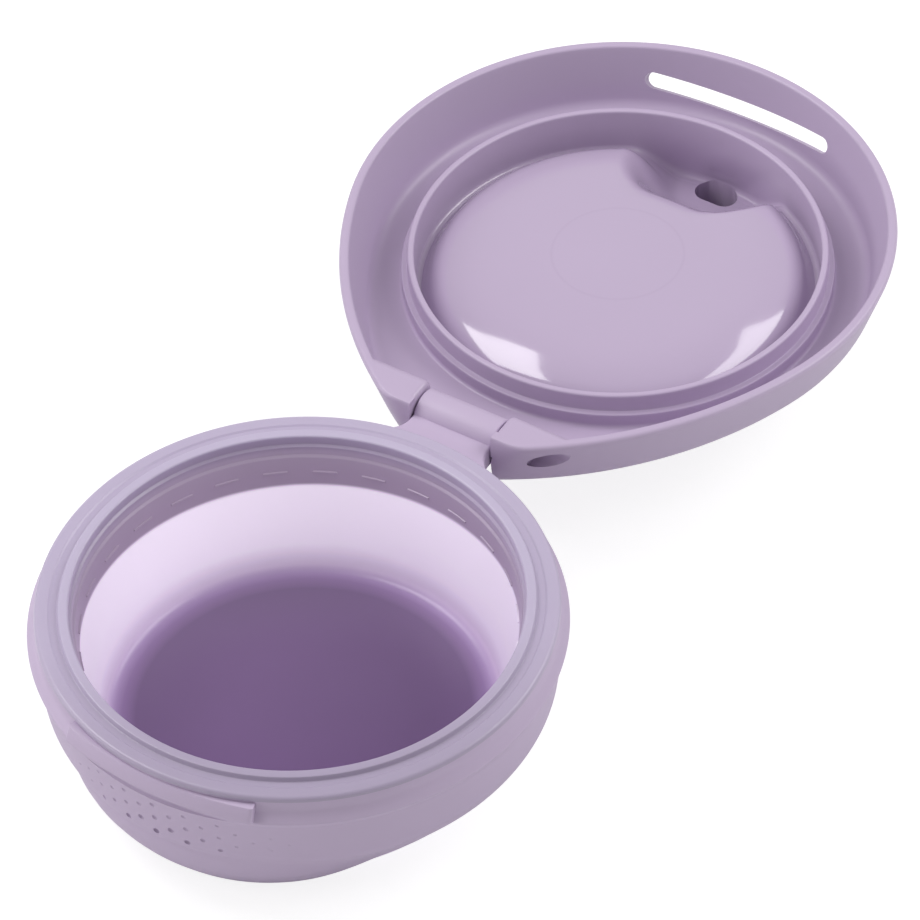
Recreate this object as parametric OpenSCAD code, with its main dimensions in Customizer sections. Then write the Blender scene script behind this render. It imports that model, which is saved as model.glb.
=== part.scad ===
// Toddler snack container: a round bowl in a grip shell, with a hinged lid shown fully open.
// Millimetres. Origin: on the table under the middle of the bowl. X runs along the hinge,
// +Y points from the bowl to the hinge, +Z is up. The lid is drawn closed and then turned open.

/* [Part] */
// Which piece to draw

/* [Bowl] */
// Height of the rim above the table
base_h = 39.5; // [38.5:0.5:41]
// Radius of the opening at the top
throat_r = 48.6; // [48.4:0.1:48.8]
// Width of the flat rim round the opening
rim_w = 7.4; // [7.2:0.1:7.7]
// Inner radius where the wall meets the floor
floor_r = 42.8; // [42:0.2:43]
// Height of the floor's upper face
floor_z = 4.4; // [4.2:0.1:4.8]
// Thickness of the floor
floor_t = 2; // [1.6:0.1:2.2]
// Thickness of the bowl's wall
bowl_wall = 1.6; // [1.4:0.1:1.7]
// Width of the foot ring
foot_w = 2.8; // [2.2:0.1:3.4]

/* [Shell] */
// How far the ridge below the rim stands out from it
ridge_out = 1.8; // [1.4:0.1:2.2]
// How far the ridge lies below the top of the rim
ridge_drop = 6.8; // [6.6:0.1:7.2]
// Wall thickness of the shell
shell_wall = 1.5; // [1.3:0.1:1.6]
// Height of the shell's lower edge
shell_low = 5; // [4.6:0.2:6]
// How far the front grip stands out from the round body
grip_out = 3.8; // [3:0.2:4.2]
// Width of the front ledge, the same as the lid's latch slot
ledge_w = 47; // [44:0.5:48]
// How far the ledge stands out from the rim at the front
ledge_out = 1.5; // [1.2:0.1:1.7]
// Radius of the biggest grip dimple
dimple_r = 0.85; // [0.6:0.05:1]

/* [Hinge] */
// Distance from the rim's edge to the hinge
hinge_out = 10.7; // [10.5:0.1:11]
// How far the hinge lies below the top of the rim
hinge_drop = 5.4; // [5.2:0.1:5.6]
// Width of the middle knuckle
knuckle_w = 20; // [18:0.5:20.5]
// Radius of the middle knuckle
knuckle_r = 4.8; // [4.4:0.1:4.9]
// Radius of the hinge pin
pin_r = 1.5; // [1.2:0.1:1.7]
// Length of the hinge pin
pin_l = 34; // [32:0.5:35]
// Radial running clearance of the pin in the lid
pin_clear = 0.05; // [0.03:0.01:0.08]
// Gap at each end of the knuckle
side_gap = 0.4; // [0.3:0.05:0.6]

/* [Lid] */
// How much bigger the radius of the lid's lower edge is than the rim's
lid_out = 6.7; // [6.5:0.1:7]
// Radius of each long arc that runs back to the hinge
back_r = 102.4; // [100:0.2:105]
// Thickness of the lid's wall at its lower edge
lid_wall = 2.5; // [2.3:0.1:2.6]
// Depth of the skirt inside the lid
skirt_h = 14.9; // [14.5:0.1:15.2]
// Height of the lid's ceiling above the top of the rim
ceil_gap = 3.9; // [3.7:0.1:4.2]
// Radial gap between the plug ring and the opening
plug_gap = 1; // [0.9:0.05:1.2]
// How far the plug ring reaches below the top of the rim
plug_deep = 4.2; // [3.5:0.1:4.6]
// Length of the latch slot
slot_w = 47; // [44:0.5:48]
// Height of the latch slot
slot_h = 4.6; // [4.2:0.1:4.8]
// Height of the pouring spout's tip above the table when the lid is shut
spout_top = 68.2; // [67.6:0.1:68.2]
// Length of the spout's oval bore
bore_l = 10.5; // [9:0.5:11]
// Width of the spout's oval bore
bore_w = 6.2; // [5.6:0.1:6.4]

/* [Hidden] */
$fn = 120;
eps = 0.01;
mid_gap = 0.3;
rim_r = throat_r + rim_w;
foot_r = floor_r - 0.4;
ridge_r = rim_r + ridge_out;
ledge_y = rim_r + ledge_out;
hinge_y = rim_r + hinge_out;
lid_r = rim_r + lid_out;
hinge_z = base_h - hinge_drop;
ridge_z = base_h - ridge_drop;
rim_low = base_h - 2.2;
rim_land = base_h - 0.8;
neck_r = rim_r - 0.2;
wall_top = [throat_r - 1.1, base_h - 5.4];
pad_r = foot_r - foot_w - mid_gap;
pad_t = floor_z - floor_t;
body_k = 0.75;
body_r0 = foot_r - 0.5;
body_k2 = 0.13;
body_r2 = ridge_r - 1 - body_k2 * (ridge_z - 2);
ledge_arc = ledge_y + 24.5;
ear_gap = knuckle_w / 2 + side_gap;
plan_y = -1.2;
plan_tilt = 19.25;
back_x = (back_r - lid_r) * cos(plan_tilt);
back_y = plan_y - (back_r - lid_r) * sin(plan_tilt);
end_y = hinge_y + 5.3;
ceil_z = base_h + ceil_gap;
roof_t = 1.9;
lip_z = ceil_z - skirt_h;
taper_out = 0.33;
taper_in = 0.27;
seat_z = base_h + 0.3;
ring_r = throat_r + 0.3;
slot_y = 5.4 - lid_r;
slot_tilt = 30;
plug_r = throat_r - plug_gap;
plug_in = plug_r - 1.5;
gap_y = rim_r + 3.5;
ear_y = rim_r + 6.4;
ear_end = 30;
access_r = 2.7;
spout_y = 3.8 - throat_r;
land_z = base_h + 15;
dish_z = base_h - 3.1;

// Points of a smooth curve through the list p, with n steps between neighbours.
function spline(p, n) = concat(
    [for (i = [0:len(p) - 2]) for (j = [0:n - 1]) mid_point(p, i, j / n)],
    [p[len(p) - 1]]);
function mid_point(p, i, t) = let (
    a = p[max(i - 1, 0)], b = p[i], c = p[i + 1], d = p[min(i + 2, len(p) - 1)])
    0.5 * (2 * b + (c - a) * t + (2 * a - 5 * b + 4 * c - d) * t * t
    + (3 * b - a - 3 * c + d) * t * t * t);

// Arc that rounds the corner b between a and c with radius r.
function corner(a, b, c, r, n = 5) = let (
    u = (a - b) / norm(a - b), v = (c - b) / norm(c - b),
    h = acos(u * v) / 2, w = (u + v) / norm(u + v), m = b + w * r / sin(h),
    s = b + u * r / tan(h) - m, e = b + v * r / tan(h) - m,
    s0 = atan2(s[1], s[0]), turn = atan2(e[1], e[0]) - s0,
    sweep = turn > 180 ? turn - 360 : turn < -180 ? turn + 360 : turn)
    [for (i = [0:n]) m + r * [cos(s0 + sweep * i / n), sin(s0 + sweep * i / n)]];

function body_radius(z) = min(body_r0 + body_k * z, body_r2 + body_k2 * z);

module revolved(points) {
    rotate_extrude() polygon(points);
}

module x_rod(r, x0, x1, y, z) {
    translate([x0, y, z]) rotate([0, 90, 0]) cylinder(r = r, h = x1 - x0);
}

module stadium(l, w) {
    square([l - w, w], center = true);
    translate([(l - w) / 2, 0]) circle(d = w);
    translate([(w - l) / 2, 0]) circle(d = w);
}

// Bowl: floor, wall, stepped opening, flat rim and foot ring in one revolved section.
module bowl() {
    out_low = [foot_r + 0.3, floor_z - 0.4];
    k = (wall_top[0] - floor_r) / (wall_top[1] - floor_z);
    out_mid = [floor_r + bowl_wall + k * 2, floor_z + 2];
    out_top = [wall_top[0] + bowl_wall + 0.4, rim_low];
    color([0.86, 0.83, 0.89, 0.6])
    revolved(concat(
        [[0, floor_z]],
        corner([0, floor_z], [floor_r, floor_z], wall_top, 2.6),
        [wall_top, wall_top + [0.5, 0.5], wall_top + [0.5, 2.7], [throat_r, base_h - 2.3]],
        corner([throat_r, base_h - 2.3], [throat_r, base_h], [rim_r, base_h], 0.5),
        [[throat_r + 2.1, base_h], [throat_r + 2.5, rim_land - 0.3]],
        [[throat_r + 4.1, rim_land - 0.3], [throat_r + 4.5, rim_land]],
        corner([throat_r, rim_land], [rim_r, rim_land], [rim_r, rim_low], 0.9),
        [[rim_r, rim_low], out_top],
        corner(out_top, out_mid, out_low, 2),
        [out_low, [foot_r, 0.9], [foot_r - 0.4, 0.3]],
        [[foot_r - foot_w, 0.3], [foot_r - foot_w, floor_z - floor_t], [0, floor_z - floor_t]]));
}

// Soft disc in the foot ring, the face that stands on the table.
module base_pad() {
    color([0.4, 0.3, 0.5])
    revolved(concat(
        [[0, 0]],
        corner([0, 0], [pad_r, 0], [pad_r, pad_t], 0.5),
        [[pad_r, pad_t], [0, pad_t]]));
}

// Section of the round shell, from its lower edge up to the neck under the rim.
module shell_section() {
    z_bend = (body_r2 - body_r0) / (body_k - body_k2);
    bend = [body_radius(z_bend), z_bend];
    low = [body_radius(shell_low), shell_low];
    up = [ridge_r - 1, ridge_z - 2];
    t = shell_wall;
    slant = t * sqrt(1 + body_k * body_k);
    in_bend = [bend[0] - t - 0.5, z_bend + 0.5];
    neck_in = [neck_r - t - 1, rim_low - 6];
    polygon(concat(
        [low],
        corner(low, bend, up, 9, 8),
        spline([up, [ridge_r - 0.4, ridge_z - 0.9], [ridge_r, ridge_z],
            [ridge_r - 0.7, ridge_z + 1], [neck_r + 0.3, ridge_z + 2.4], [neck_r, rim_low]], 4),
        [[neck_r - t, rim_low], neck_in, [up[0] - t, neck_in[1] - 2]],
        corner(up - [t, 0], in_bend, low - [slant, 0], 8, 6),
        [low - [slant, 0]]));
}

// Fuller front of the shell, part of a second round body with its own axis.
module grip(cut) {
    c = 11.2;
    o = cut ? shell_wall + 0.2 : 0;
    r = body_radius(22) - c - o;
    b = grip_out - 3.8;
    zb = cut ? -1 : 1.2;
    intersection() {
        translate([0, -c, 0])
        revolved(concat([[0, zb], [r - 7.8 + b, zb]],
            cut ? [] : [[r - 7.4 + b, zb + 0.4]],
            spline([[r - 5.4 + b, 4.2], [r - 3.1 + b, 7.5], [r - 0.9 + b, 12], [r, 17],
                [r + 0.1, 22], [r - 0.2, 27]], 4),
            [[r - 1, 28], [0, 28]]));
        translate([-ridge_r - 2, -ridge_r - 12, -5]) cube([2 * ridge_r + 4, 45, base_h]);
    }
}

// Staggered columns of grip dimples, widest in the middle of the front.
module dimples() {
    for (i = [-8:8]) for (j = [-1:0.5:1]) {
        z = ridge_z - 8.4 + j * 4.4;
        odd = abs(i) % 2 == 1;
        half = abs(j) == 0.5;
        if (odd == half && (odd ? abs(i) < 8 : abs(i) < 5 || j == 0))
            rotate([0, 0, i * 3.8]) translate([0, 2.3 - ridge_r, z]) rotate([90, 0, 0])
            cylinder(r = dimple_r * (1 - 0.06 * abs(i)), h = 8, $fn = 20);
    }
}

// Front ledge in the neck: a flatter arc than the rim, with a sloping face and round ends.
module ledge() {
    low = ridge_z + 0.4;
    high = rim_low - 0.4;
    c = ledge_arc - ledge_y;
    w = ledge_w / 2;
    intersection() {
        translate([0, c, 0]) revolved([[ledge_arc - 5, low], [ledge_arc - 0.3, low],
            [ledge_arc, low + 0.4], [ledge_arc - 0.1, low + 1], [ledge_arc - 1.1, high - 0.5],
            [ledge_arc - 1.6, high], [ledge_arc - 5, high]]);
        translate([0, 12.5 - ledge_y, 0]) rotate([90, 0, 0]) linear_extrude(20) polygon(concat(
            corner([0, low], [w, low], [w, high], 1.2), corner([w, low], [w, high], [0, high], 1.2),
            corner([0, high], [-w, high], [-w, low], 1.2), corner([-w, high], [-w, low], [0, low], 1.2)));
    }
}

// Groove that undercuts the ledge in the middle of the ridge.
module undercut() {
    c = ledge_arc - ledge_y;
    intersection() {
        translate([0, c, ridge_z - 0.5]) revolved([[ledge_arc + 2, -1.1], [ledge_arc - 0.2, -0.9],
            [ledge_arc - 0.8, -0.3], [ledge_arc - 0.8, 0.5], [ledge_arc - 0.3, 0.9],
            [ledge_arc + 2, 0.9]]);
        translate([-ledge_w / 2 + 4, -ledge_y - 12, 0]) cube([ledge_w - 8, 30, base_h]);
    }
}

// Arm and middle knuckle of the hinge.
module knuckle() {
    w = knuckle_w / 2;
    x_rod(knuckle_r, -w, w, hinge_y, hinge_z);
    translate([0, 0, hinge_z - 3.4]) linear_extrude(5.4)
    polygon([[-w - 4.5, rim_r - 2], [-w - 2, rim_r + 0.6], [-w, gap_y], [-w, hinge_y],
        [w, hinge_y], [w, gap_y], [w + 2, rim_r + 0.6], [w + 4.5, rim_r - 2]]);
}

module shell() {
    color([0.65, 0.57, 0.69])
    difference() {
        union() {
            difference() {
                union() {
                    rotate_extrude() shell_section();
                    difference() {
                        grip(false);
                        grip(true);
                        translate([0, 0, -1]) cylinder(r1 = body_radius(shell_low) - 3,
                            r2 = body_radius(shell_low) + 1.5, h = shell_low + 1);
                        translate([0, 0, shell_low - eps]) cylinder(r1 = body_radius(shell_low) - 0.5,
                            r2 = body_radius(shell_low + 10) - 0.5, h = 10);
                        translate([0, 0, shell_low + 9.9]) cylinder(r = ridge_r - 2.5, h = 20);
                    }
                }
                undercut();
                dimples();
            }
            ledge();
            knuckle();
        }
        x_rod(pin_r + 0.02, -knuckle_w, knuckle_w, hinge_y, hinge_z);
        translate([0, 0, ridge_z - 4]) cylinder(r = neck_r - shell_wall - 1, h = 12);
    }
}

// Hinge pin through the knuckle and both ears of the lid.
module hinge_pin() {
    color([0.6, 0.52, 0.64])
    x_rod(pin_r, -pin_l / 2, pin_l / 2, hinge_y, hinge_z);
}

// Round disc that gets narrower by k for each millimetre up from z0, its upper edge rounded.
module disc(r, z0, z1, k, rd) {
    low = [r, z0];
    top = [r - k * (z1 - z0), z1];
    revolved(concat([[0, z0], low], corner(low, top, [0, z1], rd), [[0, z1]]));
}

// The lid's outline: a round front, and two long arcs that start where they touch it and are
// cut straight behind the hinge.
module lid_form(off, z0, z1, k, rd) {
    grow = k * (lip_z - z0) - off;
    side_y = plan_y + (lid_r + grow) * sin(plan_tilt);
    translate([0, plan_y, 0]) disc(lid_r + grow, z0, z1, k, rd);
    intersection() {
        translate([-back_x, back_y, 0]) disc(back_r + grow, z0, z1, k, rd);
        translate([back_x, back_y, 0]) disc(back_r + grow, z0, z1, k, rd);
        translate([-back_r, side_y, z0 - 1]) cube([2 * back_r, end_y - off - side_y, z1 - z0 + 2]);
    }
}

// Raised middle of the lid: plug ring, trough and dished centre.
function dish_in() = spline([[0, dish_z], [plug_in - 31.1, dish_z + 0.5], [plug_in - 16.1, dish_z + 2],
    [plug_in - 8.1, dish_z + 4.8], [plug_in - 4.1, dish_z + 7.8], [plug_in - 2.9, dish_z + 9.6],
    [plug_in - 1.8, dish_z + 10.2]], 5);
function dish_out() = spline([[0, dish_z + 1.9], [plug_in - 31.1, dish_z + 2.4],
    [plug_in - 16.1, dish_z + 3.9], [plug_in - 8.7, dish_z + 6.6], [plug_in - 5.1, dish_z + 9.2],
    [plug_in - 3.7, dish_z + 11.3], [plug_in - 1.8, dish_z + 12.1]], 5);

module plug_section() {
    tip = base_h - plug_deep;
    top = dish_z + 10.2;
    out = concat(
        corner([plug_in - 1.8, top + 1.9], [plug_in + 1.8, top + 1.9], [plug_in + 1.8, ceil_z], 2.4),
        [[plug_in + 1.8, ceil_z + 1.1], [ring_r, ceil_z + 0.7], [ring_r, ceil_z],
            [ring_r + 0.15, seat_z], [plug_r + 0.1, seat_z], [plug_r, tip + 0.5],
            [plug_r - 0.5, tip], [plug_in + 0.3, tip], [plug_in, tip + 0.4]],
        corner([plug_in, tip], [plug_in, top], [plug_in - 1.8, top], 1.5));
    in = dish_in();
    polygon(concat(dish_out(), out, [for (i = [len(in) - 1:-1:0]) in[i]]));
}

// Long slot through the sloping wall, leaning down towards the inside.
module slot_form() {
    translate([0, plan_y + slot_y, base_h]) rotate([90 - slot_tilt, 0, 0])
        translate([0, 0, -7]) linear_extrude(18) stadium(slot_w, slot_h);
}

// Funnel that leads from the trough down to the oval bore.
module funnel() {
    hull() {
        translate([0, spout_y + 2.2, dish_z + 7.4]) linear_extrude(eps) stadium(38, 6, $fn = 32);
        translate([0, spout_y + 0.5, land_z - 3]) linear_extrude(eps) stadium(22, 8.6, $fn = 32);
        translate([0, spout_y, land_z]) linear_extrude(eps) stadium(18, 7.4, $fn = 32);
    }
}

module spout_body() {
    hull() {
        translate([0, spout_y + 1, ceil_z + 0.8]) linear_extrude(eps) stadium(43, 14, $fn = 32);
        translate([0, spout_y, land_z]) linear_extrude(eps) stadium(26, 12.4, $fn = 32);
        translate([0, spout_y, spout_top - 2]) linear_extrude(eps) stadium(21, 10.8, $fn = 32);
        translate([0, spout_y, spout_top - 0.6]) linear_extrude(0.6) stadium(18.6, 8.8, $fn = 32);
    }
}

// Ear blocks at both sides of the knuckle, with a rounded edge towards the lid's middle.
module ears() {
    intersection() {
        lid_form(0.3, lip_z, ceil_z + 1, taper_out, 6);
        for (side = [-1, 1]) translate([side * (ear_gap + ear_end) / 2, 0, 0])
            rotate([90, 0, 90]) linear_extrude(ear_end - ear_gap, center = true)
            polygon(concat([[end_y + 3, ceil_z + 1], [end_y + 3, lip_z]],
                corner([end_y, lip_z], [ear_y, lip_z], [ear_y, ceil_z], 1.6),
                [[ear_y, ceil_z + 1]]));
    }
}

module lid_closed() {
    difference() {
        union() {
            difference() {
                lid_form(0, lip_z, ceil_z + roof_t, taper_out, 6);
                lid_form(lid_wall, lip_z - 1, ceil_z, taper_in, 3);
                translate([0, 0, lip_z - 5]) cylinder(r = plug_in + 0.9, h = 30);
            }
            ears();
            difference() {
                union() {
                    rotate_extrude() plug_section();
                    difference() {
                        spout_body();
                        translate([0, 0, base_h - 5]) cylinder(r = plug_in + 0.5, h = 11.6);
                    }
                }
                funnel();
            }
        }
        slot_form();
        translate([-ear_gap, gap_y, lip_z - 1]) cube([2 * ear_gap, 30, skirt_h + 10]);
        translate([0, spout_y, land_z - 4]) linear_extrude(30) stadium(bore_l, bore_w);
        x_rod(pin_r + pin_clear, -pin_l / 2 - 0.3, pin_l, hinge_y, hinge_z);
        x_rod(access_r, pin_l / 2 + 0.4, lid_r, hinge_y, hinge_z);
    }
}

module lid() {
    color([0.72, 0.65, 0.77])
    translate([0, 2 * hinge_y, 2 * hinge_z]) rotate([180, 0, 0]) lid_closed();
}

bowl();
shell();
base_pad();
hinge_pin();
lid();
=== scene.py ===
"""Toddler snack container, lid open: looks of the bowl, grip shell, hinge and lid.

Shapes are in millimetres, as in the CAD, and settle() brings them to metres. The zones of the
materials are in metres. The lid is drawn shut and then turned open about the hinge.
"""

from math import asin, atan2, cos, hypot, pi, radians, sin, sqrt, tan

import bmesh
import bpy
from mathutils import Matrix, Vector


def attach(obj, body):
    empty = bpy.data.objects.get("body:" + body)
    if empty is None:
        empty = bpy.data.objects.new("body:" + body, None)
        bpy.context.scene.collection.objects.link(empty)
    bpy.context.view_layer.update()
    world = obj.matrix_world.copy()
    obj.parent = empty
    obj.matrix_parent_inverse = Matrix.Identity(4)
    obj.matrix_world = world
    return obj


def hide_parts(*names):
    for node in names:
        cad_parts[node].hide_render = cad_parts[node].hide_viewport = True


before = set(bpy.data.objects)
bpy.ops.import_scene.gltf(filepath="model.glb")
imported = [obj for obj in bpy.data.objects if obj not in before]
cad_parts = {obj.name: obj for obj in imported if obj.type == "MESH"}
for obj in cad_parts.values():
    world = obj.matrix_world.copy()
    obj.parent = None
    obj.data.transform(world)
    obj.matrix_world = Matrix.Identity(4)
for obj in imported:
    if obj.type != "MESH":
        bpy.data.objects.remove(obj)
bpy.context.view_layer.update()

MM = 0.001
TURN = 2 * pi

# hinge axis, which runs along X
HINGE_Y, HINGE_Z = 66.7, 34.1

# round body of the shell: its lower cone's growth per millimetre up, its lowest height and wall
FLARE, BODY_LOW, BODY_WALL = 0.75, 5, 1.9
# front grip: middle of its circles, and the height where it has run out
GRIP_Y, GRIP_TOP = -11.2, 27.5
# front ledge: middle and radius of its arc, half its length
LEDGE_Y, LEDGE_R, LEDGE_HALF = 24.5, 82, 23.4

# lid's outline: a round front, two flatter arcs behind it and a straight back end
LID_Y, LID_R, BACK_R, END_Y = -1.2, 62.7, 102.4, 72.0
TILT = radians(19.25)
SIDE_X, SIDE_Y = (BACK_R - LID_R) * cos(TILT), LID_Y - (BACK_R - LID_R) * sin(TILT)
# lid's heights, its wall at the lip, and how far its two faces lean in per millimetre up
LIP, CEILING, ROOF = 28.5, 43.4, 45.3
WALL, LEAN_OUT, LEAN_IN = 2.5, 0.33, 0.27
# plug ring: inner radius, edge and foot of its inner face, edge of the dish, and the boss over it
RING_R, RING_LOW, RING_FOOT, DISH_R, BOSS_TOP = 46.1, 35.3, 46.6, 44.3, 48.5
# pouring port in the dish
PORT_Y, PORT_Z = -44.8, 54.5


# ---- curves ----

def smooth(a, b, x):
    """0 below a, 1 above b, with soft ends."""
    t = min(max((x - a) / (b - a), 0.0), 1.0)
    return t * t * (3 - 2 * t)


def bend(difference, width):
    """What a soft bend adds where two shapes that differ by difference meet."""
    return max(width - abs(difference), 0.0) ** 2 / (4 * width)


def corner(a, b, c, r, n=8):
    """Points of the arc of radius r that rounds corner b between a and c."""
    a, b, c = Vector(a), Vector(b), Vector(c)
    u, v = (a - b).normalized(), (c - b).normalized()
    half = u.angle(v) / 2
    middle = b + (u + v).normalized() * (r / sin(half))
    start = b + u * (r / tan(half)) - middle
    end = b + v * (r / tan(half)) - middle
    s0 = atan2(start.y, start.x)
    sweep = atan2(end.y, end.x) - s0
    sweep += -TURN if sweep > pi else TURN if sweep < -pi else 0
    return [tuple(middle + Vector((cos(s0 + sweep * i / n), sin(s0 + sweep * i / n))) * r)
            for i in range(n + 1)]


def corners(*rows):
    """Several rounded corners, one after another."""
    return [point for row in rows for point in corner(*row)]


def line(a, b, shares):
    """Points at the given shares of the way from a to b."""
    return [(a[0] + (b[0] - a[0]) * t, a[1] + (b[1] - a[1]) * t) for t in shares]


def through(points, n):
    """Smooth curve through the points, n steps between neighbours."""
    out = []
    for i in range(len(points) - 1):
        a = Vector(points[max(i - 1, 0)])
        b, c = Vector(points[i]), Vector(points[i + 1])
        d = Vector(points[min(i + 2, len(points) - 1)])
        for j in range(n):
            t = j / n
            out.append(tuple(0.5 * (2 * b + (c - a) * t + (2 * a - 5 * b + 4 * c - d) * t * t
                                    + (3 * b - a - 3 * c + d) * t * t * t)))
    return out + [tuple(points[-1])]


def value_at(curve, x):
    """The second coordinate of the curve where the first is x, held beyond its ends."""
    if x <= curve[0][0]:
        return curve[0][1]
    for (x0, y0), (x1, y1) in zip(curve, curve[1:]):
        if x0 <= x <= x1:
            return y0 + (y1 - y0) * (x - x0) / max(x1 - x0, 1e-6)
    return curve[-1][1]


def thinned(points, gap):
    """The points without those closer than gap to the one before."""
    kept = [points[0]]
    for point in points[1:]:
        if hypot(point[0] - kept[-1][0], point[1] - kept[-1][1]) > gap:
            kept.append(point)
    return kept


def ray_out(angle, cx, cy, r):
    """Distance from the origin, along an angle, to a circle of radius r round (cx, cy)."""
    d = cx * cos(angle) + cy * sin(angle)
    return d + sqrt(max(d * d - cx * cx - cy * cy + r * r, 0.0))


def stadium(length, width, y, n=14):
    """Outline with two straight sides and round ends, its middle at y."""
    r = width / 2
    return [(side * (length / 2 - r) + r * cos(a), y + r * sin(a))
            for side in (1, -1) for a in (pi * i / n - side * pi / 2 for i in range(n + 1))]


# ---- solids ----

def outward(bm, merge=0.0005):
    """Merges doubles, drops loose edges and turns every face outward."""
    bmesh.ops.remove_doubles(bm, verts=bm.verts, dist=merge)
    loose = [e for e in bm.edges if not e.link_faces]
    bmesh.ops.delete(bm, geom=loose, context="EDGES")
    bmesh.ops.recalc_face_normals(bm, faces=bm.faces)


def soften(bm, edges, width, segments=4):
    bmesh.ops.bevel(bm, geom=edges, offset=width, segments=segments, profile=0.5, material=-1,
                    affect="EDGES")


def loop(bm, points):
    """A closed loop of new vertices, and its edges."""
    verts = [bm.verts.new(point) for point in points]
    return verts, [bm.edges.new((verts[i - 1], verts[i])) for i in range(len(verts))]


def turned(points, steps, centre=(0, 0, 0), start=0.0, angle=TURN):
    """A section turned about a vertical axis; the whole way round unless angle says less."""
    bm = bmesh.new()
    verts, edges = loop(bm, [(r, 0, z) for r, z in points])
    whole = angle >= TURN
    bmesh.ops.rotate(bm, verts=bm.verts, matrix=Matrix.Rotation(start, 3, "Z"))
    bmesh.ops.spin(bm, geom=verts + edges, axis=(0, 0, 1), angle=angle, steps=steps,
                   use_merge=whole)
    if not whole:
        bmesh.ops.holes_fill(bm, edges=[e for e in bm.edges if e.is_boundary], sides=0)
    outward(bm)
    bmesh.ops.translate(bm, verts=bm.verts, vec=centre)
    return bm


def rod(r, x0, x1, steps, edge=0.0):
    """A round bar on the hinge axis, its end edges rounded if asked."""
    bm = bmesh.new()
    long = x1 - x0
    bmesh.ops.create_cone(bm, cap_ends=True, segments=steps, radius1=r, radius2=r, depth=long)
    if edge:
        rims = [e for e in bm.edges if abs(abs(e.verts[0].co.z + e.verts[1].co.z) - long) < 1e-4]
        soften(bm, rims, edge)
    bmesh.ops.rotate(bm, verts=bm.verts, matrix=Matrix.Rotation(pi / 2, 3, "Y"))
    bmesh.ops.translate(bm, verts=bm.verts, vec=((x0 + x1) / 2, HINGE_Y, HINGE_Z))
    return bm


def drawn(outline, way):
    """A flat outline of 3-D points drawn out along a vector."""
    bm = bmesh.new()
    face = bm.faces.new([bm.verts.new(point) for point in outline])
    made = bmesh.ops.extrude_face_region(bm, geom=[face])
    moved = [g for g in made["geom"] if isinstance(g, bmesh.types.BMVert)]
    bmesh.ops.translate(bm, verts=moved, vec=way)
    outward(bm)
    return bm


def prism(outline, z0, z1):
    return drawn([(x, y, z0) for x, y in outline], (0, 0, z1 - z0))


def loft(outlines):
    """Outlines with the same count of points, one after another, closed at both ends."""
    bm = bmesh.new()
    rows = [loop(bm, outline) for outline in outlines]
    for (_, a), (_, b) in zip(rows, rows[1:]):
        bmesh.ops.bridge_loops(bm, edges=a + b)
    bm.faces.new(rows[0][0])
    bm.faces.new(rows[-1][0])
    outward(bm, 0.0001)
    return bm


def gathered(parts):
    """Several forms in one."""
    whole = bmesh.new()
    for part in parts:
        mesh = bpy.data.meshes.new("part")
        part.to_mesh(mesh)
        part.free()
        whole.from_mesh(mesh)
        bpy.data.meshes.remove(mesh)
    return whole


def piece(name, bm):
    mesh = bpy.data.meshes.new(name)
    bm.to_mesh(mesh)
    bm.free()
    obj = bpy.data.objects.new(name, mesh)
    bpy.context.scene.collection.objects.link(obj)
    return obj


def carve(obj, bm, how):
    """Adds another closed form to obj, cuts it from obj or keeps what they share."""
    other = piece("cutter", bm)
    mod = obj.modifiers.new("form", "BOOLEAN")
    mod.object, mod.operation, mod.solver = other, how, "EXACT"
    graph = bpy.context.evaluated_depsgraph_get()
    graph.update()
    made = bpy.data.meshes.new_from_object(obj.evaluated_get(graph))
    obj.modifiers.clear()
    old = obj.data
    obj.data = made
    bpy.data.meshes.remove(old)
    bpy.data.objects.remove(other)


def carved(form, bm, how):
    """The same for a form that isn't a piece yet."""
    obj = piece("form", form)
    carve(obj, bm, how)
    result = bmesh.new()
    result.from_mesh(obj.data)
    bpy.data.objects.remove(obj)
    return result


def settle(obj, material, body, node, sharp=35):
    """Cleans a piece, brings it to metres, shades it smooth and hands it to the frame."""
    bm = bmesh.new()
    bm.from_mesh(obj.data)
    bmesh.ops.remove_doubles(bm, verts=bm.verts, dist=0.002)
    bmesh.ops.dissolve_degenerate(bm, edges=bm.edges, dist=0.002)
    bmesh.ops.scale(bm, verts=bm.verts, vec=(MM, MM, MM))
    for f in bm.faces:
        f.smooth = True
    bm.to_mesh(obj.data)
    bm.free()
    obj.data.set_sharp_from_angle(angle=radians(sharp))
    obj.data.materials.clear()
    obj.data.materials.append(material)
    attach(obj, body)
    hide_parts(node)


# ---- shader nodes ----

def tint(r, g, b):
    """A colour written as on a screen, made linear."""
    return tuple((c / 255 / 12.92 if c <= 10 else ((c / 255 + 0.055) / 1.055) ** 2.4)
                 for c in (r, g, b)) + (1.0,)


def grey(level):
    return (level, level, level, 1)


def feed(tree, socket, value):
    """Links a socket to another one, or gives it a plain value."""
    if isinstance(value, bpy.types.NodeSocket):
        tree.links.new(value, socket)
    else:
        socket.default_value = value


def operation(tree, node_kind, kind, values):
    node = tree.nodes.new(node_kind)
    node.operation = kind
    for socket, value in zip(node.inputs, values):
        feed(tree, socket, value)
    return node


def maths(tree, kind, *values):
    return operation(tree, "ShaderNodeMath", kind, values).outputs[0]


def vector_maths(tree, kind, *values):
    """A vector operation that gives a number."""
    return operation(tree, "ShaderNodeVectorMath", kind, values).outputs["Value"]


def noise(tree, place, scale, detail, stretch=None):
    """Noise at a place, drawn out along slanted lines if stretch is given."""
    if stretch:
        turn = tree.nodes.new("ShaderNodeMapping")
        turn.inputs["Scale"].default_value = stretch
        turn.inputs["Rotation"].default_value = (0.3, 0.2, 0.7)
        tree.links.new(place, turn.inputs["Vector"])
        place = turn.outputs["Vector"]
    node = tree.nodes.new("ShaderNodeTexNoise")
    feed(tree, node.inputs["Scale"], scale)
    node.inputs["Detail"].default_value = detail
    tree.links.new(place, node.inputs["Vector"])
    return node.outputs["Fac"]


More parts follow.
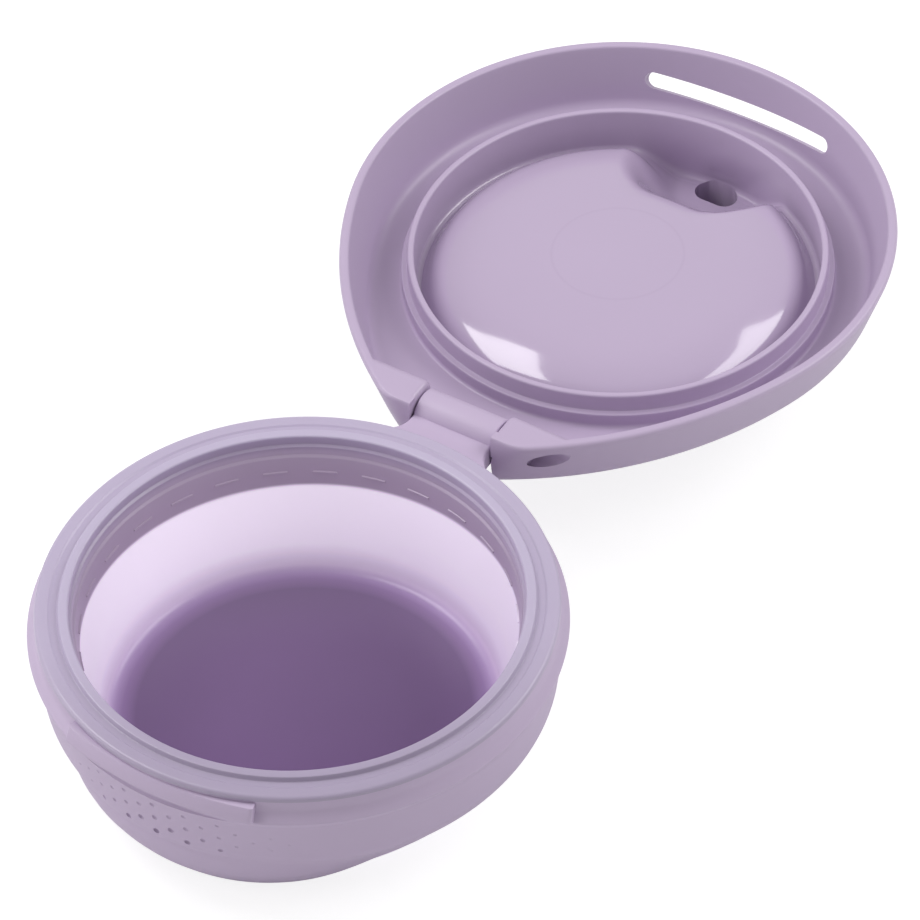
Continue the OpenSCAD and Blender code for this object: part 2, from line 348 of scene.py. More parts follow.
def zone(tree, value, a, b, kind="SMOOTHSTEP"):
    """The value from a to b made 0 to 1."""
    node = tree.nodes.new("ShaderNodeMapRange")
    node.interpolation_type = kind
    node.inputs["From Min"].default_value, node.inputs["From Max"].default_value = a, b
    tree.links.new(value, node.inputs["Value"])
    return node.outputs["Result"]


def between(tree, share, low, high):
    """A number that goes from low to high as share goes from 0 to 1."""
    return maths(tree, "MULTIPLY_ADD", share, high - low, low)


def ramp(tree, value, stops):
    """Colours at stops along a value of 0 to 1."""
    node = tree.nodes.new("ShaderNodeValToRGB")
    points = node.color_ramp.elements
    points[0].position, points[0].color = stops[0]
    points[1].position, points[1].color = stops[-1]
    for position, color in stops[1:-1]:
        points.new(position).color = color
    tree.links.new(value, node.inputs["Fac"])
    return node.outputs["Color"]


def blend_colors(tree, factor, a, b, kind="MIX"):
    node = tree.nodes.new("ShaderNodeMix")
    node.data_type, node.blend_type = "RGBA", kind
    for socket, value in ((node.inputs["Factor"], factor), (node.inputs[6], a),
                          (node.inputs[7], b)):
        feed(tree, socket, value)
    return node.outputs[2]


def from_axis(tree, x, y):
    """Distance from a vertical axis, height, and place seen from the axis."""
    place = tree.nodes.new("ShaderNodeTexCoord")
    shift = tree.nodes.new("ShaderNodeMapping")
    shift.inputs["Location"].default_value = (-x, -y, 0)
    tree.links.new(place.outputs["Object"], shift.inputs["Vector"])
    moved = shift.outputs["Vector"]
    flat = operation(tree, "ShaderNodeVectorMath", "MULTIPLY", (moved, (1, 1, 0)))
    parts = tree.nodes.new("ShaderNodeSeparateXYZ")
    tree.links.new(moved, parts.inputs["Vector"])
    return vector_maths(tree, "LENGTH", flat.outputs["Vector"]), parts.outputs["Z"], moved


# ---- finishes ----

def moulded_group():
    """Moulded plastic: slow clouding of the colour, fine spark-eroded grain and faint scuffs."""
    group = bpy.data.node_groups.new("moulded_plastic", "ShaderNodeTree")
    face = group.interface
    for name, kind, value in (("Color", "NodeSocketColor", grey(0.5)),
                              ("Clouding", "NodeSocketFloat", 0.05),
                              ("Roughness", "NodeSocketFloat", 0.4),
                              ("Roughness Spread", "NodeSocketFloat", 0.08),
                              ("Grain Size", "NodeSocketFloat", 2200.0),
                              ("Grain", "NodeSocketFloat", 0.1),
                              ("Scuffs", "NodeSocketFloat", 0.05)):
        socket = face.new_socket(name, in_out="INPUT", socket_type=kind)
        socket.default_value = value
    for name, kind in (("Color", "NodeSocketColor"), ("Roughness", "NodeSocketFloat"),
                       ("Normal", "NodeSocketVector")):
        face.new_socket(name, in_out="OUTPUT", socket_type=kind)
    add, link = group.nodes.new, group.links.new
    given, out = add("NodeGroupInput").outputs, add("NodeGroupOutput").inputs
    place = add("ShaderNodeTexCoord").outputs["Object"]

    def uneven(scale, detail, amount):
        """Noise about 0, as strong as amount says."""
        middle = maths(group, "SUBTRACT", noise(group, place, scale, detail), 0.5)
        return maths(group, "MULTIPLY", middle, amount)

    scratches = zone(group, noise(group, place, 90, 4, (1.0, 9.0, 2.0)), 0.66, 0.78, "LINEAR")
    scuffed = maths(group, "MULTIPLY", scratches, given["Scuffs"])
    cloudy = maths(group, "ADD", uneven(28, 3, given["Clouding"]), scuffed)
    hue = add("ShaderNodeHueSaturation")
    link(given["Color"], hue.inputs["Color"])
    link(maths(group, "ADD", cloudy, 1.0), hue.inputs["Value"])
    link(hue.outputs["Color"], out["Color"])
    patchy = maths(group, "ADD", uneven(60, 5, given["Roughness Spread"]), scuffed)
    link(maths(group, "ADD", patchy, given["Roughness"]), out["Roughness"])
    bump = add("ShaderNodeBump")
    bump.inputs["Distance"].default_value = 0.00006
    link(given["Grain"], bump.inputs["Strength"])
    link(noise(group, place, given["Grain Size"], 2), bump.inputs["Height"])
    link(bump.outputs["Normal"], out["Normal"])
    return group


MOULDED = moulded_group()


def plastic(name, color, rough, grain=0.15, size=2200.0, clouding=0.06, spread=0.08, scuffs=0.03,
            subsurface=0.0):
    """A material on the moulded plastic group. Returns it with its tree, the group's inputs and
    the shader's inputs, for a piece's own zones."""
    mat = bpy.data.materials.new(name)
    mat.use_nodes = True
    tree = mat.node_tree
    shader = tree.nodes["Principled BSDF"].inputs
    base = tree.nodes.new("ShaderNodeGroup")
    base.node_tree = MOULDED
    for socket, value in (("Color", color), ("Clouding", clouding), ("Roughness", rough),
                          ("Roughness Spread", spread), ("Grain Size", size), ("Grain", grain),
                          ("Scuffs", scuffs)):
        base.inputs[socket].default_value = value
    for made, socket in (("Color", "Base Color"), ("Roughness", "Roughness"),
                         ("Normal", "Normal")):
        tree.links.new(base.outputs[made], shader[socket])
    shader["IOR"].default_value = 1.5
    if subsurface:
        shader["Subsurface Weight"].default_value = subsurface
        shader["Subsurface Radius"].default_value = (1.0, 0.8, 1.0)
        shader["Subsurface Scale"].default_value = 0.003
    return mat, tree, base.inputs, shader


def bowl_colors(tree, r, z, place, painted_shade_band):
    """Pale wall darkened at its foot by painted shade, a painted shade band at the neck, a
    grey-lilac rim with painted shade on its near side, and a dark purple floor lighter at its soft
    edge."""
    # painted shade: the wall darkens towards its foot by the floor
    wall = ramp(tree, zone(tree, z, 0.0, 0.04, "LINEAR"), [
        (0.10, tint(226, 217, 235)), (0.108, tint(192, 169, 205)), (0.17, tint(210, 191, 221)),
        (0.26, tint(226, 212, 236)), (0.42, tint(235, 223, 243)), (0.66, tint(236, 224, 244)),
        (0.90, tint(238, 224, 246))])
    # painted shade: the neck band, darkest low down and lighter up to the rim
    neck_with_painted_shade = ramp(tree, zone(tree, z, 0.03, 0.04, "LINEAR"), [
        (0.0, tint(160, 141, 169)), (0.4, tint(160, 143, 169)), (0.7, tint(176, 162, 188)),
        (0.85, tint(184, 172, 197)), (1.0, tint(191, 181, 205))])
    # painted shade: the near side of the rim is dimmer
    near = zone(tree, vector_maths(tree, "DOT_PRODUCT", place, (0.545, -0.839, 0.0)), 0.005, 0.05)
    rim = blend_colors(tree, near, neck_with_painted_shade, tint(168, 156, 180))
    color = blend_colors(tree, painted_shade_band, wall, neck_with_painted_shade)
    color = blend_colors(tree, zone(tree, z, 0.0365, 0.0372), color, rim)
    # dark purple floor, lighter in a soft ring towards the wall
    floor_tone = ramp(tree, zone(tree, r, 0.03, 0.045, "LINEAR"), [
        (0.0, tint(105, 78, 122)), (0.42, tint(107, 80, 124)), (0.62, tint(138, 109, 157)),
        (0.76, tint(172, 146, 190)), (0.9, tint(182, 156, 199))])
    floor = maths(tree, "MULTIPLY", zone(tree, z, 0.0056, 0.0044), zone(tree, z, 0.0038, 0.0043))
    return blend_colors(tree, floor, color, floor_tone)


def bowl_painted_glow(tree, r, z, place, painted_shade_band):
    """Painted light: emission that stands in for light through the frosted wall, most of it at the
    far side, dimmed in the painted shade band, and a pale glow on the foot ring; none at the rim."""
    # painted light: stronger towards the far side of the bowl
    far = zone(tree, vector_maths(tree, "DOT_PRODUCT", place, (-0.73, 0.68, 0.0)), -0.048, 0.048,
               "LINEAR")
    share = ramp(tree, far, [
        (0.0, grey(0.01)), (0.27, (0.03, 0.028, 0.03, 1)), (0.6, (0.16, 0.15, 0.155, 1)),
        (0.8, (0.27, 0.25, 0.27, 1)), (1.0, (0.42, 0.39, 0.42, 1))])
    rise = ramp(tree, zone(tree, z, 0.0, 0.04, "LINEAR"), [
        (0.10, grey(0.05)), (0.16, grey(0.55)), (0.28, grey(0.95)), (0.6, grey(1))])
    band = blend_colors(tree, painted_shade_band, rise, (0.22, 0.20, 0.22, 1))
    band = blend_colors(tree, zone(tree, z, 0.0352, 0.0372), band, grey(0.0))
    painted_glow = blend_colors(tree, 1.0, share, band, "MULTIPLY")
    # painted light: a glow on the foot ring
    foot = maths(tree, "MULTIPLY", zone(tree, z, 0.0036, 0.0028), zone(tree, r, 0.0408, 0.0414))
    return blend_colors(tree, foot, painted_glow, (0.22, 0.19, 0.24, 1))


def frosted_bowl_finish():
    """Frosted bowl with painted shade and painted light. The painted shade band's lower edge leans
    a little, lower at the far side.
    """
    mat, tree, base, shader = plastic("frosted_bowl", tint(220, 208, 228), 0.3, grain=0.12,
                                      size=1500.0, clouding=0.05, spread=0.1, subsurface=0.1)
    r, z, place = from_axis(tree, 0, 0)
    # painted shade: a tilted line where the painted shade band begins
    lean = vector_maths(tree, "DOT_PRODUCT", place, (-0.052, 0.049, 1.0))
    painted_shade_band = zone(tree, zone(tree, lean, 0.0, 0.04, "LINEAR"), 0.735, 0.765)
    tree.links.new(bowl_colors(tree, r, z, place, painted_shade_band), base["Color"])
    # painted light: emission that makes the bowl glow
    tree.links.new(bowl_painted_glow(tree, r, z, place, painted_shade_band), shader["Emission Color"])
    shader["Emission Strength"].default_value = 1.0
    return mat


def lid_finish():
    """Lid: polished inside the ring, satin elsewhere, a faint round gate mark in the middle."""
    mat, tree, base, shader = plastic("lilac_lid", tint(193, 176, 204), 0.36, grain=0.16,
                                      size=2400.0, clouding=0.05, scuffs=0.02)
    r = from_axis(tree, 0, 2 * HINGE_Y * MM)[0]
    satin = zone(tree, r, 0.0452, 0.0464)
    for socket, polished, plain in ((base["Roughness"], 0.13, 0.37), (base["Grain"], 0.01, 0.16),
                                    (shader["Coat Weight"], 0.8, 0.0)):
        tree.links.new(between(tree, satin, polished, plain), socket)
    shader["Coat Roughness"].default_value = 0.07
    lilac, mark = tint(187, 170, 197), tint(184, 167, 194)
    color = ramp(tree, zone(tree, r, 0.012, 0.018, "LINEAR"),
                 [(0.42, lilac), (0.5, mark), (0.58, lilac)])
    tree.links.new(color, base["Color"])
    return mat


SHELL_FINISH = plastic("lilac_grip_shell", tint(190, 173, 200), 0.48, grain=0.3, size=1900.0,
                       clouding=0.05, scuffs=0.03)[0]
BOWL_FINISH = frosted_bowl_finish()
LID_FINISH = lid_finish()
PAD_FINISH = plastic("soft_pad", tint(112, 84, 132), 0.62, grain=0.5, size=1200.0, clouding=0.12,
                     scuffs=0.08)[0]
PIN_FINISH = plastic("hinge_pin", tint(172, 154, 184), 0.3, grain=0.1, size=2500.0)[0]


# ---- bowl ----

def fill_line():
    """Raised dashes round the inside of the wall."""
    count, long = 27, radians(6.6)
    dash = [(46.85, 30.05), (46.66, 30.2), (46.62, 30.35), (46.70, 30.5), (47.0, 30.6),
            (47.1, 30.3)]
    dashes = gathered([turned(dash, 8, start=i * TURN / count + 0.1, angle=long)
                       for i in range(count)])
    outward(dashes)
    return dashes


def make_bowl():
    """Floor, wall, stepped throat, rim and foot ring, with the dashes of the fill line."""
    floor, wall_top = 4.4, (47.5, 34.1)
    section = [(0, floor), (14, floor), (28, floor)]
    section += corner((0, floor), (42.8, floor), wall_top, 2.6, 10)
    section += line((43.9, 11.4), wall_top, [i / 8 for i in range(8)])
    section += corners(
        # two steps of the throat
        ((44, 12), wall_top, (48.0, 34.6), 0.5, 4),
        ((47.6, 34.2), (48.0, 34.6), (48.0, 36.8), 0.3, 4),
        ((48.0, 35), (48.0, 36.8), (48.6, 37.2), 0.3, 4),
        ((48.1, 36.87), (48.6, 37.2), (48.6, 39.5), 0.25, 3),
        # raised lip, shallow groove and flat rim
        ((48.6, 38), (48.6, 39.5), (50.7, 39.5), 0.5, 6),
        ((49.5, 39.5), (50.7, 39.5), (51.1, 38.4), 0.3, 4),
        ((50.75, 39.4), (51.1, 38.4), (52.7, 38.4), 0.3, 4),
        ((51.3, 38.4), (52.7, 38.4), (53.1, 38.7), 0.2, 3),
        ((52.8, 38.47), (53.1, 38.7), (56, 38.7), 0.2, 3),
        ((54, 38.7), (56, 38.7), (56, 37.3), 0.9, 8))
    # outside of the wall, then the foot ring
    section += [(56, 37.5), (55.8, 37.3), (49.5, 37.3), (47.6, 24), (44.72, 6.4), (42.7, 4.0)]
    section += corners(((42.7, 4.0), (42.4, 0.9), (42.0, 0.3), 0.4, 3),
                       ((42.4, 0.9), (42.0, 0.3), (39.6, 0.3), 0.3, 3))
    section += [(39.6, 0.3), (39.6, 2.4), (20, 2.4), (0, 2.4)]
    return piece("frosted_bowl", gathered([turned(section, 256), fill_line()]))


# ---- shell ----

def body_radius(z):
    """Outer radius of the round body: a flaring cone below, a steep one above."""
    return min(41.9 + FLARE * z, 52.81 + 0.13 * z)


# heights and radii of the grip's circles
GRIP = [(z, r) for r, z in through([
    (36.7, 1.2), (37.1, 1.6), (39.1, 4.2), (41.4, 7.5), (43.6, 12), (44.47, 17), (44.57, 22),
    (44.27, 27), (43.5, 30)], 6)]


def grip_reach(angle, z):
    return ray_out(angle, 0, GRIP_Y, value_at(GRIP, z))


def shape_grip(bm):
    """Swells the front of the round body into the fuller grip that dips lower."""
    for v in bm.verts:
        x, y, z = v.co
        if z > GRIP_TOP or y > -20:
            continue
        r, a = hypot(x, y), atan2(y, x)
        front = smooth(0.0, 4.2, grip_reach(a, 6) - body_radius(6) + 0.2)
        low = z - 3.8 * front * (1 - smooth(5, 17, z))
        gain = grip_reach(a, low) - body_radius(z)
        r += (max(gain, 0.0) + bend(gain, 0.9)) * (1 - smooth(22, GRIP_TOP, z))
        v.co = (r * cos(a), r * sin(a), low)


def shell_body():
    """The shell's wall: lower cone, waist, upper wall and the ridge under the rim."""
    low_r, waist, top = body_radius(BODY_LOW), (55.1, 17.6), (56.8, 30.7)
    in_r = low_r - BODY_WALL
    rises = (1, 2.5, 4, 5.5, 7, 8.5)
    section = [(low_r - 0.3, 4.95), (low_r + 0.05, 5.15)]
    section += [(low_r + FLARE * t, BODY_LOW + t) for t in rises]
    section += corner((low_r, BODY_LOW), waist, top, 9, 12)
    section += line(waist, top, (0.3, 0.45, 0.6, 0.75, 0.9))
    section += through([top, (57.4, 31.8), (57.8, 32.7), (57.1, 33.7), (56.1, 35.1),
                        (55.8, 37.3)], 6)
    section += [(55.6, 37.45), (54.4, 37.45), (54.3, 37.2), (53.3, 31.3), (55.3, 29.3)]
    section += corner((55.3, 30.7), (53.1, 18.1), (in_r, BODY_LOW), 8, 8)
    section += [(in_r + FLARE * t, BODY_LOW + t) for t in reversed(rises)]
    section += [(in_r + 0.1, 5.1), (in_r + 0.4, 4.95)]
    bm = turned(thinned(section, 0.05), 288)
    shape_grip(bm)
    bmesh.ops.recalc_face_normals(bm, faces=bm.faces)
    return bm


def dimples():
    """Balls that cut the dimples, smaller to the sides. Every second column sits between the
    rows, and the outermost columns have one dimple only."""
    balls = bmesh.new()
    for column in range(-8, 9):
        for row in (-0.5, 0.5) if column % 2 else (-1, 0, 1) if abs(column) <= 4 else (0,):
            z, a = 24.3 + row * 4.4, radians(-90 + column * 3.8)
            r = body_radius(z) + 0.38
            bmesh.ops.create_icosphere(balls, subdivisions=2, radius=0.8 * (1 - 0.05 * abs(column)),
                                       matrix=Matrix.Translation((r * cos(a), r * sin(a), z)))
    return balls


def ledge():
    """Front ledge: a flatter arc than the rim, with round ends."""
    half = asin(LEDGE_HALF / LEDGE_R)
    bar = turned([(77, 33.1), (81.6, 33.1), (81.9, 33.3), (82, 33.6), (81.95, 34.1), (81.4, 35.5),
                  (81.0, 36.4), (80.7, 36.8), (80.3, 36.9), (77, 36.9)],
                 48, (0, LEDGE_Y, 0), start=-pi / 2 - half, angle=2 * half)
    ends = [e for e in bar.edges if e.calc_face_angle(0) > 0.9
            and all(abs(v.co.x) > 23 and v.co.y < -50 for v in e.verts)]
    soften(bar, ends, 0.8, 5)
    return bar


def undercut():
    """Groove in the body just below the ledge."""
    half = 13.6
    return turned([(84, 31.1), (81.8, 31.3), (81.1, 31.9), (81.1, 32.7), (81.7, 33.1),
                   (84, 33.1)], 40, (0, LEDGE_Y, 0), start=radians(-90 - half),
                  angle=radians(2 * half))


def hinge_arm():
    """Arm from the body to the hinge, the edges along its two sides rounded."""
    side = [(14.5, 54), (12, 56.6), (10.6, 58.4), (10, 60.4), (10, HINGE_Y)]
    arm = prism([(-x, y) for x, y in side] + side[::-1], 30.7, 36.1)
    soften(arm, [e for e in arm.edges if e.verts[0].co.x * e.verts[1].co.x > 0], 0.6)
    return arm


def make_shell():
    shell = piece("grip_shell", shell_body())
    carve(shell, undercut(), "DIFFERENCE")
    carve(shell, dimples(), "DIFFERENCE")
    carve(shell, ledge(), "UNION")
    carve(shell, hinge_arm(), "UNION")
    # middle knuckle and its bore
    carve(shell, rod(4.8, -10, 10, 80, edge=0.5), "UNION")
    carve(shell, rod(1.52, -12, 12, 40), "DIFFERENCE")
    return shell


# ---- lid, drawn shut ----

def plan(angle, off, end):
    """Distance from the bowl's axis to the lid's outline, drawn in by off and cut off at end."""
    front = ray_out(angle, 0, LID_Y, LID_R - off)
    if front * sin(angle) - LID_Y <= abs(front * cos(angle)) * tan(TILT):
        return front
    side = ray_out(angle, -SIDE_X if cos(angle) > 0 else SIDE_X, SIDE_Y, BACK_R - off)
    back = end / max(sin(angle), 0.01)
    return min(side, back) - bend(side - back, 1.6)


def port_share(x, y):
    """1 on the flat round the port, 0 where the dish is undisturbed; longer toward the middle."""
    dx, dy = max(abs(x) - 5.3, 0.0), y - PORT_Y
    return 1 - smooth(3.6, 15.5, hypot(dx, dy * (0.62 if dy > 0 else 1.0)))


DISH_IN = through([(0, 36.4), (15, 36.85), (30, 38.2), (38, 40.4), (41.6, 42.6), (43.3, 45.0),
                   (44.4, 46.5)], 10)
DISH_OUT = through([(0, 38.3), (15, 38.8), (30, 40.3), (37.4, 43.0), (41, 45.6), (42.4, 47.7),
                    (DISH_R, BOSS_TOP)], 6)


def of_kind(kind, points):
    return [(kind, value, z) for value, z in points]


def lid_rings():
    """Rings of the lid's skin, from the middle of the dish round the lip to the middle of the
    outside. Each has a kind, a radius, inset or share, and a height. Also how many of them are
    inside the plug ring."""
    rings = of_kind("dish", [(r, value_at(DISH_IN, r)) for r in (
        1.5, 4, 7, 10, 13, 16, 19, 22, 25, 27, 29, 31, 32.5, 34, 35.3, 36.6, 37.8, 38.8, 39.7,
        40.5, 41.2, 41.9, 42.4, 42.8, 43.2, 43.6, 44.0)])
    foot, edge = (RING_R, RING_FOOT), (RING_R, RING_LOW)
    rings += of_kind("wall", [(44.7, RING_FOOT)] + corner((DISH_R, RING_FOOT), foot, edge, 1.1, 6))
    rings += of_kind("wall", [(RING_R, z) for z in (44.5, 43.2, 41.8, 40.2, 38.6, 37.2, 36.3)])
    inside = len(rings)
    # plug ring's edge, its outer face with a shoulder, and the foot on the ceiling
    shoulder, rim, root = (47.7, 39.7), (49.1, 39.7), (48.9, CEILING)
    rings += of_kind("ring", corners(((RING_R, 38), edge, (47.3, RING_LOW), 0.5, 5),
                                     (edge, (47.6, RING_LOW), shoulder, 0.55, 5)))
    rings += of_kind("ring", [(47.64, 37.4)] + corners(((47.6, 37.4), shoulder, rim, 0.2, 3),
                                                       (shoulder, rim, root, 0.35, 4)))
    rings += of_kind("ring", [(49.0, 41.4)] + corner(rim, root, (55, CEILING), 0.8, 5))
    rings += of_kind("span", [(t, CEILING) for t in (0.15, 0.35, 0.55, 0.75, 0.92)])
    # skirt: inner face down to the lip, outer face up to the roof
    inner_lip, outer_lip = (WALL, LIP), (0, LIP)
    rings += of_kind("inner", corner((12, CEILING), (WALL + LEAN_IN * (CEILING - LIP), CEILING),
                                     inner_lip, 3, 9))
    rings += of_kind("inner", [(WALL + LEAN_IN * (z - LIP), z)
                               for z in (39.6, 38, 36.4, 34.8, 33.2, 31.6, 30.3)])
    rings += of_kind("inner", corner((3.1, 30.7), inner_lip, outer_lip, 0.75, 6))
    rings += of_kind("outer", corner(inner_lip, outer_lip, (0.99, 31.5), 0.95, 7))
    rings += of_kind("outer", [(LEAN_OUT * (z - LIP), z) for z in (30.6, 32.4, 34.2, 36, 37.8, 39)])
    rings += of_kind("outer", corner(outer_lip, (LEAN_OUT * (ROOF - LIP), ROOF), (14, ROOF), 7, 10))
    rings += of_kind("roof", [(t, ROOF) for t in (0.8, 0.5, 0.25)])
    # boss over the plug ring, then the outside of the dish
    boss = (47.9, BOSS_TOP)
    rings += of_kind("boss", corners(((52, ROOF), (47.9, ROOF), boss, 0.7, 4),
                                     ((47.9, 45.6), boss, (DISH_R, BOSS_TOP), 2.2, 8)))
    rings += of_kind("dish_top", reversed(DISH_OUT[3:-1]))
    return rings, inside


def ring_point(kind, value, z, a):
    """A ring's point at an angle. Round the port the dish and what is over it bulge outward."""
    if kind in ("dish", "dish_top"):
        x, y = value * cos(a), value * sin(a)
        dish = value_at(DISH_IN, value)
        low = PORT_Z if kind == "dish" or value <= 42 else PORT_Z + 1.2 + dish - z
        return x, y, z + (low - dish) * port_share(x, y)
    share = port_share(44.6 * cos(a), 44.6 * sin(a))
    tall = RING_FOOT - RING_LOW
    r = value
    if kind == "wall":
        r += 2.0 * share * smooth(0.15, 1.0, (z - RING_LOW) / tall)
        z = RING_LOW + (z - RING_LOW) * (1 + (PORT_Z - RING_FOOT) / tall * share)
    elif kind == "boss":
        r += 2.4 * share * smooth(45.4, 47.6, z)
        z += share * (PORT_Z + 2 - BOSS_TOP) * smooth(45.6, BOSS_TOP, z)
    elif kind == "span":
        r = 49.8 + (plan(a, 9.2, END_Y - 6) - 49.8) * value
    elif kind == "roof":
        r = 48.8 + (plan(a, 10.9, END_Y - 3) - 48.8) * value
    elif kind == "inner":
        r = plan(a, value, END_Y - WALL)
    elif kind == "outer":
        r = plan(a, value, END_Y - 0.35 * abs(value - LEAN_OUT * (z - LIP)))
    return r * cos(a), r * sin(a), z


def lid_skin():
    """The closed skin of the lid without spout, ears and openings."""
    steps = 360
    bm = bmesh.new()
    inner = bm.verts.new((0, 0, DISH_IN[0][1]))
    rings = [[bm.verts.new(ring_point(kind, value, z, TURN * (i + 0.5) / steps))
              for i in range(steps)] for kind, value, z in lid_rings()[0]]
    for a, b in zip(rings, rings[1:]):
        for i in range(steps):
            bm.faces.new((a[i - 1], a[i], b[i], b[i - 1]))
    outer = bm.verts.new((0, 0, DISH_OUT[0][1]))
    for hub, ring in ((inner, rings[0]), (outer, rings[-1])):
        for i in range(steps):
            bm.faces.new((hub, ring[i - 1], ring[i]))
    outward(bm, 0.001)
    return bm


def dish_core():
    """The space inside the plug ring, grown a little into the dish and the wall round it."""
    steps, grown = 180, 0.6
    rings, inside = lid_rings()
    outlines = []
    for kind, value, z in rings[4:inside]:
        grow = grown if kind == "wall" else 0.0
        row = []
        for a in (TURN * (i + 0.25) / steps for i in range(steps)):
            x, y, height = ring_point(kind, value, z, a)
            row.append((x + grow * cos(a), y + grow * sin(a), height + grown))
        outlines.append(row)
    outlines.append([(x, y, 30.0) for x, y, _ in outlines[-1]])
    return loft(outlines)


def spout():
    """Pouring spout, hollowed by the dish's own shape, its tip rounded."""
    sizes = through([(43, 14, PORT_Y + 1.0, 44.2), (35, 13.4, PORT_Y + 0.5, 48.5),
                     (26, 12.4, PORT_Y, 54.5), (22.6, 11.4, PORT_Y, 61.5),
                     (21, 10.8, PORT_Y, 66.2)], 5)
    sizes += [(21 - d, 10.8 - d, PORT_Y, z) for d, z in (
        (0.1, 66.8), (0.5, 67.4), (1.2, 67.9), (2.2, 68.15), (3.0, 68.2))]
    body = loft([[(px, py, z) for px, py in stadium(length, width, y)]
                 for length, width, y, z in sizes])
    return carved(body, dish_core(), "DIFFERENCE")


def ear_block(side):
    """Block beside the knuckle, its edges to the knuckle and to the lid's middle rounded."""
    near, far, front, back, top = 10.4, 30.0, 62.4, 80, 44.4
    outline = [(front, top)] + corner((front, 36), (front, LIP), (back, LIP), 2.6, 8)
    outline += [(back, LIP), (back, top)]
    block = drawn([(side * near, y, z) for y, z in outline], (side * (far - near), 0, 0))
    edges = [e for e in block.edges if all(abs(v.co.x) < near + 0.1 for v in e.verts)
             and not all(v.co.z > top - 0.1 for v in e.verts)
             and not all(v.co.y > back - 0.1 for v in e.verts)]
    soften(block, edges, 1.2, 5)
    # kept inside the skirt's outer face
    levels = corner((3, LIP), (0.3, LIP), (2.28, 34.5), 0.95, 6)
    levels += [(0.3 + LEAN_OUT * (z - LIP), z) for z in (31, 34, 37, 40)]
    levels += [(5.3, 42), (7.1, 43.4), (8.8, 44.2)]
    steps = 240
    angles = [TURN * (i + 0.5) / steps for i in range(steps)]
    rows = []
    for off, z in levels:
        end = END_Y - 0.3 - abs(off - LEAN_OUT * (z - LIP))
        rows.append([(r * cos(a), r * sin(a), z) for r, a in ((plan(a, off, end), a)
                                                              for a in angles)])
    return carved(block, loft(rows), "INTERSECT")


def front_slot():
    """Long slot through the sloping front wall."""
    slot = prism(stadium(48.4, 4.0, 0, 16), -7, 11)
    bmesh.ops.rotate(slot, verts=slot.verts, matrix=Matrix.Rotation(radians(60), 3, "X"))
    bmesh.ops.translate(slot, verts=slot.verts, vec=(-0.3, LID_Y + 5.4 - LID_R, 39.0))
    return slot


def knuckle_room():
    """Gap between the ears for the shell's knuckle."""
    room = bmesh.new()
    bmesh.ops.create_cube(room, size=1.0, matrix=Matrix.LocRotScale(
        (0, 74.5, 40), None, (20.8, 30, 30)))
    return room


def make_lid():
    lid = piece("lid_moulding", lid_skin())
    for added in (spout(), ear_block(-1), ear_block(1)):
        carve(lid, added, "UNION")
    # the rods are the pin's bore and its access hole, the last cut is the oval port
    for cut in (front_slot(), knuckle_room(), rod(1.55, -17.3, 34, 40), rod(2.7, 17.4, 50, 48),
                prism(stadium(10.5, 6.2, PORT_Y, 20), 50, 75)):
        carve(lid, cut, "DIFFERENCE")
    axis = Vector((0, HINGE_Y, HINGE_Z))
    lid.data.transform(Matrix.Translation(axis) @ Matrix.Rotation(pi, 4, "X")
                       @ Matrix.Translation(-axis))
    return lid


def make_pad():
    r, top = 39.3, 2.4
    section = [(0, 0)] + corners(((0, 0), (r, 0), (r, top), 0.5, 6),
                                 ((r, 0), (r, top), (0, top), 0.2, 3)) + [(0, top)]
    return piece("pad_disc", turned(section, 160))


def make_pin():
    return piece("pin_rod", rod(1.5, -17, 17, 48, edge=0.3))


settle(make_bowl(), BOWL_FINISH, "base", "bowl", sharp=38)
settle(make_shell(), SHELL_FINISH, "base", "shell", sharp=32)
settle(make_pad(), PAD_FINISH, "base", "base_pad")
settle(make_pin(), PIN_FINISH, "base", "hinge_pin")
settle(make_lid(), LID_FINISH, "lid", "lid", sharp=38)


# ---- studio ----

def studio_floor():
    """Pale paper that the camera sees brighter than it lights the pieces."""
    bm = bmesh.new()
    bmesh.ops.create_grid(bm, x_segments=4, y_segments=4, size=2.5)
    bmesh.ops.translate(bm, verts=bm.verts, vec=(0, 0.05, -0.0001))
    floor = piece("studio_floor", bm)
    mat = bpy.data.materials.new("pale_studio_floor")
    mat.use_nodes = True
    tree = mat.node_tree
    shader = tree.nodes["Principled BSDF"].inputs
    shader["Roughness"].default_value = 0.9
    shader["Specular IOR Level"].default_value = 0.0
    place = tree.nodes.new("ShaderNodeTexCoord").outputs["Object"]
    seen = tree.nodes.new("ShaderNodeLightPath").outputs["Is Camera Ray"]
    paper = ramp(tree, noise(tree, place, 3.0, 2), [(0.0, (0.86, 0.86, 0.87, 1)),
                                                    (1.0, grey(0.90))])
    tree.links.new(blend_colors(tree, seen, paper, grey(0.34)), shader["Base Color"])
    tree.links.new(maths(tree, "MULTIPLY", seen, 0.8), shader["Emission Strength"])
    shader["Emission Color"].default_value = grey(1)
    floor.data.materials.append(mat)


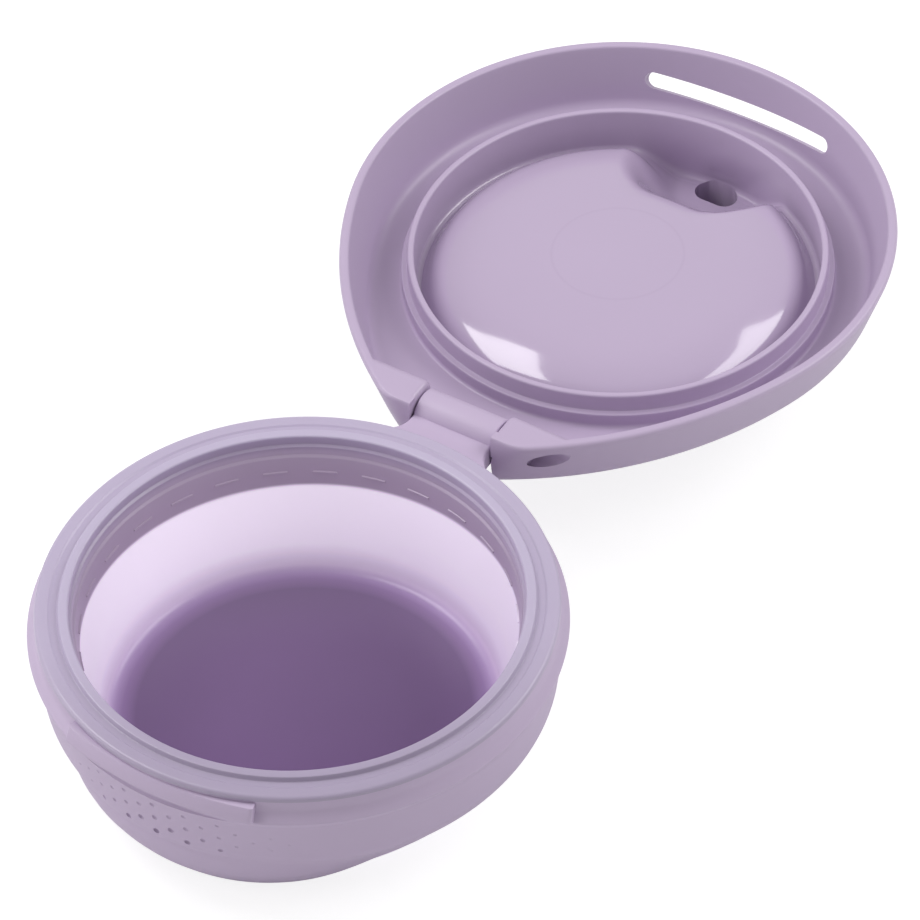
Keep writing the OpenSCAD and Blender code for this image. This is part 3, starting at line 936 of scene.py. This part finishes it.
def studio_world():
    """White surroundings, dimmer as a light than as they look."""
    world = bpy.data.worlds.new("studio")
    world.use_nodes = True
    bpy.context.scene.world = world
    tree = world.node_tree
    back = tree.nodes["Background"].inputs
    path = tree.nodes.new("ShaderNodeLightPath").outputs
    seen = maths(tree, "MAXIMUM", path["Is Camera Ray"], path["Is Transmission Ray"])
    back["Color"].default_value = grey(1)
    tree.links.new(between(tree, seen, 0.42, 1.0), back["Strength"])


def softbox(name, toward, distance, size, level):
    """A rectangular softbox that looks at the container from a direction."""
    target, watts = Vector((0.0, 0.1, 0.02)), 4
    lamp = bpy.data.lights.new(name, "AREA")
    lamp.shape = "RECTANGLE"
    lamp.size, lamp.size_y = size
    lamp.energy = level * watts * size[0] * size[1]
    obj = bpy.data.objects.new(name, lamp)
    bpy.context.scene.collection.objects.link(obj)
    way = Vector(toward).normalized()
    obj.matrix_world = Matrix.Translation(target + way * distance) \
        @ way.to_track_quat("Z", "Y").to_matrix().to_4x4()


def photo_camera():
    """Camera fitted to the photograph: azimuth 33 and elevation 45.24 degrees, slight roll."""
    a, e, roll = radians(33.0), radians(45.24), radians(-1.89)
    photo_width, focal, sensor = 920, 6001.92, 36.0
    level = Vector((cos(a), sin(a), 0))
    back = Vector((sin(a) * cos(e), -cos(a) * cos(e), sin(e)))
    plumb = back.cross(level)
    right = level * cos(roll) + plumb * sin(roll)
    up = plumb * cos(roll) - level * sin(roll)
    spot = (right * 33.62 + up * 57.14 + back * 1300) * MM
    camera = bpy.data.cameras.new("photo_camera")
    camera.sensor_width, camera.sensor_fit = sensor, "HORIZONTAL"
    camera.lens = focal * sensor / photo_width
    camera.clip_start, camera.clip_end = 0.05, 20
    obj = bpy.data.objects.new("photo_camera", camera)
    obj.matrix_world = Matrix((
        (right.x, up.x, back.x, spot.x), (right.y, up.y, back.y, spot.y),
        (right.z, up.z, back.z, spot.z), (0, 0, 0, 1)))
    bpy.context.scene.collection.objects.link(obj)
    bpy.context.scene.camera = obj


studio_floor()
studio_world()
softbox("left_softbox", (-0.53, -0.16, 0.83), 0.9, (0.47, 0.45), 4.3)
softbox("right_softbox", (0.56, 0.45, 0.70), 0.9, (0.68, 0.45), 3.3)
softbox("front_left_fill", (-0.75, -0.62, 0.30), 1.2, (0.8, 0.5), 1.8)
photo_camera()
bpy.context.scene.view_settings.view_transform = "Standard"
